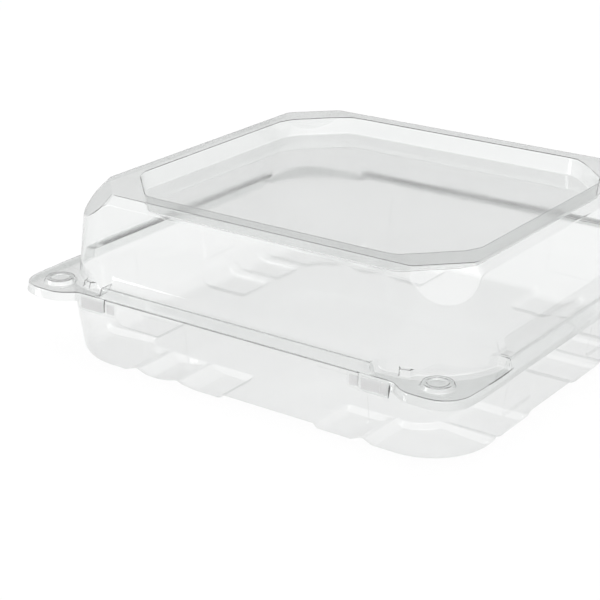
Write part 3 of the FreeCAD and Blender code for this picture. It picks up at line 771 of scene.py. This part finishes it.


# The fold. A narrow web of the same sheet, left between the two halves when they are drawn. It runs
# along the back from the tray's edge to the lid's. The real web bends as the pack opens; this one has
# the shape of the closed pack and does not bend.
FOLD_REACH = 74.6
FOLD_WALL = 0.22
FOLD_LINE = ((112.74, 37.25), (112.92, 37.28), (113.03, 37.42), (113.06, 37.65), (113.03, 37.88),
             (112.92, 38.02), (112.74, 38.05))
fold_net = bmesh.new()
fold_rows = []
for x in np.linspace(-FOLD_REACH, FOLD_REACH, 61):
    fold_rows.append([fold_net.verts.new((x / 1000.0, y / 1000.0, z / 1000.0)) for y, z in FOLD_LINE])
for near, far in zip(fold_rows, fold_rows[1:]):
    for j in range(len(FOLD_LINE) - 1):
        fold_net.faces.new((near[j], far[j], far[j + 1], near[j + 1]))
for face in fold_net.faces:
    face.smooth = True
fold_web = piece_from_net("fold_web", fold_net, clear_lid, thickness=FOLD_WALL, soft_shading=False)
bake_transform(fold_web)


# The table. Plain white and seamless, it runs out of the picture on all sides, and looks just as
# bright through the pack as beside it.
TABLE_HALF = 6.0
TABLE_HEIGHT = -0.0002


def white_paint(name, colour, strength, glow_share):
    """White paint that also glows towards the camera, seen straight, in a reflection or through
    the sheet."""
    material = bpy.data.materials.new(name)
    material.use_nodes = True
    nodes, links = material.node_tree.nodes, material.node_tree.links
    nodes.clear()
    output = nodes.new("ShaderNodeOutputMaterial")
    paint = nodes.new("ShaderNodeBsdfDiffuse")
    paint.inputs["Color"].default_value = (*colour, 1.0)
    glow = nodes.new("ShaderNodeEmission")
    glow.inputs["Color"].default_value = (1.0, 1.0, 1.0, 1.0)
    glow.inputs["Strength"].default_value = strength
    path = nodes.new("ShaderNodeLightPath")
    seen = path.outputs["Is Camera Ray"]
    for kind in ("Is Glossy Ray", "Is Transmission Ray"):
        either = nodes.new("ShaderNodeMath")
        either.operation = "MAXIMUM"
        links.new(seen, either.inputs[0])
        links.new(path.outputs[kind], either.inputs[1])
        seen = either.outputs[0]
    share = nodes.new("ShaderNodeMath")
    share.operation = "MULTIPLY"
    share.inputs[1].default_value = glow_share
    links.new(seen, share.inputs[0])
    mix = nodes.new("ShaderNodeMixShader")
    links.new(share.outputs[0], mix.inputs["Fac"])
    links.new(paint.outputs[0], mix.inputs[1])
    links.new(glow.outputs[0], mix.inputs[2])
    links.new(mix.outputs[0], output.inputs["Surface"])
    return material


table_mesh = bpy.data.meshes.new("table")
table_corners = [(x * TABLE_HALF, y * TABLE_HALF, TABLE_HEIGHT)
                 for x, y in ((-1, -1), (1, -1), (1, 1), (-1, 1))]
table_mesh.from_pydata(table_corners, [], [(0, 1, 2, 3)])
table = placed("table", table_mesh)
table.data.materials.append(white_paint("white_table", (0.85, 0.85, 0.85), 1.03, 0.9))


# The room and its lamps. The room is white, and brighter overhead and behind the camera. A wide
# soft lamp hangs over the pack's front right, and a narrow tall one stands to its left.
world = bpy.data.worlds.new("room")
world.use_nodes = True
bpy.context.scene.world = world
room_nodes, room_links = world.node_tree.nodes, world.node_tree.links
way = room_nodes.new("ShaderNodeTexCoord")
parts = room_nodes.new("ShaderNodeSeparateXYZ")
room_links.new(way.outputs["Generated"], parts.inputs[0])
upwards = room_nodes.new("ShaderNodeMapRange")
upwards.interpolation_type = "SMOOTHSTEP"
forwards = room_nodes.new("ShaderNodeMapRange")
both = room_nodes.new("ShaderNodeMath")
both.operation = "ADD"
for number, (change, axis, from_min, from_max, to_min, to_max) in enumerate((
        (upwards, "Z", 0.35, 0.9, 0.5, 0.85),
        (forwards, "Y", 0.5, -0.7, 0.0, 0.35))):
    change.inputs["From Min"].default_value = from_min
    change.inputs["From Max"].default_value = from_max
    change.inputs["To Min"].default_value = to_min
    change.inputs["To Max"].default_value = to_max
    room_links.new(parts.outputs[axis], change.inputs["Value"])
    room_links.new(change.outputs["Result"], both.inputs[number])
room_links.new(both.outputs[0], room_nodes["Background"].inputs["Color"])

for name, place, size, energy in (
        ("top_lamp", (0.42, -0.22, 1.05), (0.95, 0.95), 3.2),
        ("side_lamp", (-1.1, -0.9, 0.5), (0.25, 0.9), 2.5)):
    lamp_data = bpy.data.lights.new(name, "AREA")
    lamp_data.shape = "RECTANGLE"
    lamp_data.size, lamp_data.size_y = size
    lamp_data.energy = energy
    lamp = placed(name, lamp_data)
    lamp.location = place
    lamp.rotation_euler = (Vector((0.0, 0.0, 0.04)) - lamp.location).to_track_quat("-Z", "Y").to_euler()


# The camera. It stands in front of the pack's right front corner, a little above it, with a
# moderately long lens.
camera_data = bpy.data.cameras.new("camera")
camera_data.lens = 100.0
camera_data.sensor_width = 36.0
camera_data.sensor_fit = "HORIZONTAL"
camera_data.clip_start = 0.05
camera_data.dof.use_dof = False
camera = placed("camera", camera_data)
looks_right = Vector((0.8130, 0.5820, 0.0)).normalized()
looks_along = Vector((-0.5416, 0.7565, -0.3663)).normalized()
looks_up = looks_right.cross(looks_along)
camera.matrix_world = Matrix((
    (looks_right.x, looks_up.x, -looks_along.x, 0.3908),
    (looks_right.y, looks_up.y, -looks_along.y, -0.5997),
    (looks_right.z, looks_up.z, -looks_along.z, 0.30065),
    (0.0, 0.0, 0.0, 1.0),
))
bpy.context.scene.camera = camera
bpy.context.scene.view_settings.view_transform = "Standard"
